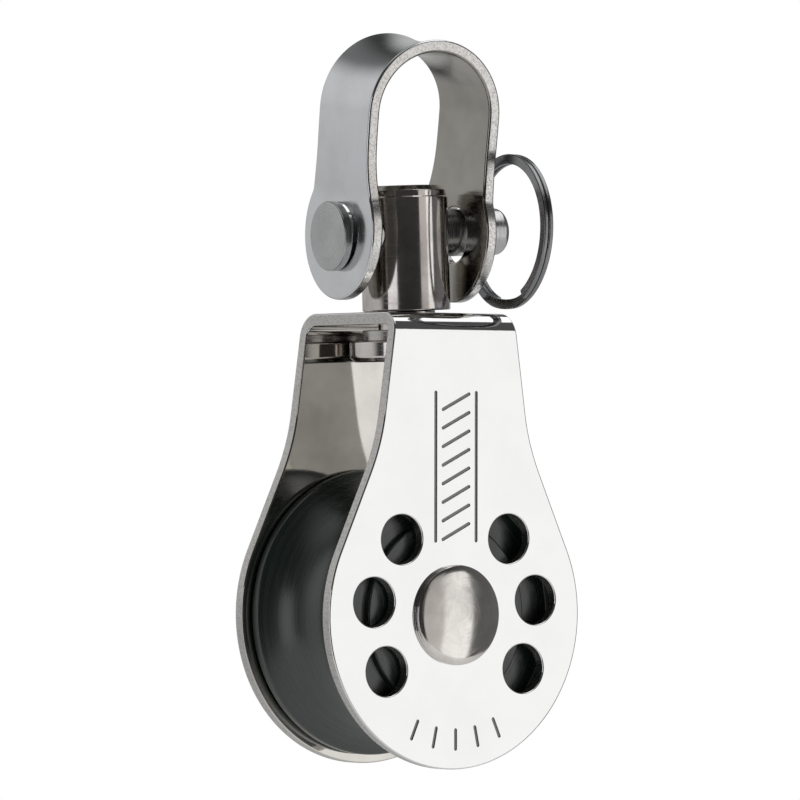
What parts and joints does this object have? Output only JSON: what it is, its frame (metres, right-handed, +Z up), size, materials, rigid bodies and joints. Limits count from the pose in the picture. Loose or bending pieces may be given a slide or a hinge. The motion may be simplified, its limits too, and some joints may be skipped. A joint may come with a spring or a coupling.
{
  "type": "single sheave block",
  "caption": "Small single pulley block: a bent strap frame round a ball-bearing sheave, hung from a swivel post, clevis pin and strap shackle.",
  "frame": {"origin": "the inside of the shackle's bow, where the block hangs from its fitting", "axes": "+Z up, from the sheave towards the shackle; +Y from the front cheek towards the back cheek, along the sheave's axle; +X across the cheeks, towards the split ring"},
  "size_m": [0.0308, 0.025, 0.0741],
  "materials": {
    "polished_sheet": "mirror polished stainless sheet with sheared satin edges",
    "polished_strap": "polished stainless strap",
    "rivet_steel": "polished formed rivet head",
    "race_steel": "turned",
    "turned_steel": "turned and lightly polished",
    "washer_steel": "satin",
    "pin_steel": "satin head, polished shank",
    "spring_steel": "drawn flat spring wire",
    "sheave_acetal": "moulded, slightly glossy in the groove",
    "ball_acetal": "ground acetal balls"
  },
  "bodies": {
    "shackle": {"shackle": "polished_strap"},
    "post": {"swivel_post": "turned_steel", "swivel_stud": "turned_steel", "thrust_washer": "washer_steel"},
    "pin": {"clevis_pin": "pin_steel"},
    "ring": {"split_ring": "spring_steel"},
    "frame": {"cheek_frame": "polished_sheet", "axle_rivet": "rivet_steel", "inner_race_front": "race_steel", "inner_race_back": "race_steel"},
    "sheave": {"sheave": "sheave_acetal"},
    "balls": {"ball_01": "ball_acetal", "ball_02": "ball_acetal", "ball_03": "ball_acetal", "ball_04": "ball_acetal", "ball_05": "ball_acetal", "ball_06": "ball_acetal", "ball_07": "ball_acetal", "ball_08": "ball_acetal", "ball_09": "ball_acetal", "ball_10": "ball_acetal", "ball_11": "ball_acetal", "ball_12": "ball_acetal"}
  },
  "joints": [
    {"name": "shackle_hinge", "type": "hinge", "parent": "shackle", "child": "post", "pos_m": [0.00056, 0.00244, -0.01859], "axis": [0.9955, -0.0836, 0.0454], "range_deg": [-20, 115]},
    {"name": "pin_turn", "type": "hinge", "parent": "post", "child": "pin", "pos_m": [0.00056, 0.00244, -0.01859], "axis": [0.9955, -0.0836, 0.0454], "range_deg": [-4, 2.5]},
    {"name": "ring_swing", "type": "hinge", "parent": "pin", "child": "ring", "pos_m": [0.00862, 0.00177, -0.01822], "axis": [-0.0474, -0.0223, 0.9986], "range_deg": [-1, 165]},
    {"name": "swivel_turn", "type": "hinge", "parent": "post", "child": "frame", "pos_m": [0.00102, 0.00244, -0.02663], "axis": [0, 0, 1], "continuous": true},
    {"name": "sheave_spin", "type": "hinge", "parent": "frame", "child": "sheave", "pos_m": [0.00102, 0.00244, -0.05683], "axis": [0, 1, 0], "continuous": true},
    {"name": "ball_orbit", "type": "hinge", "parent": "frame", "child": "balls", "pos_m": [0.00102, 0.00244, -0.05683], "axis": [0, 1, 0], "continuous": true}
  ],
  "couplings": [
    {"joint": "ball_orbit", "follows": "sheave_spin", "ratio": 0.6238}
  ]
}
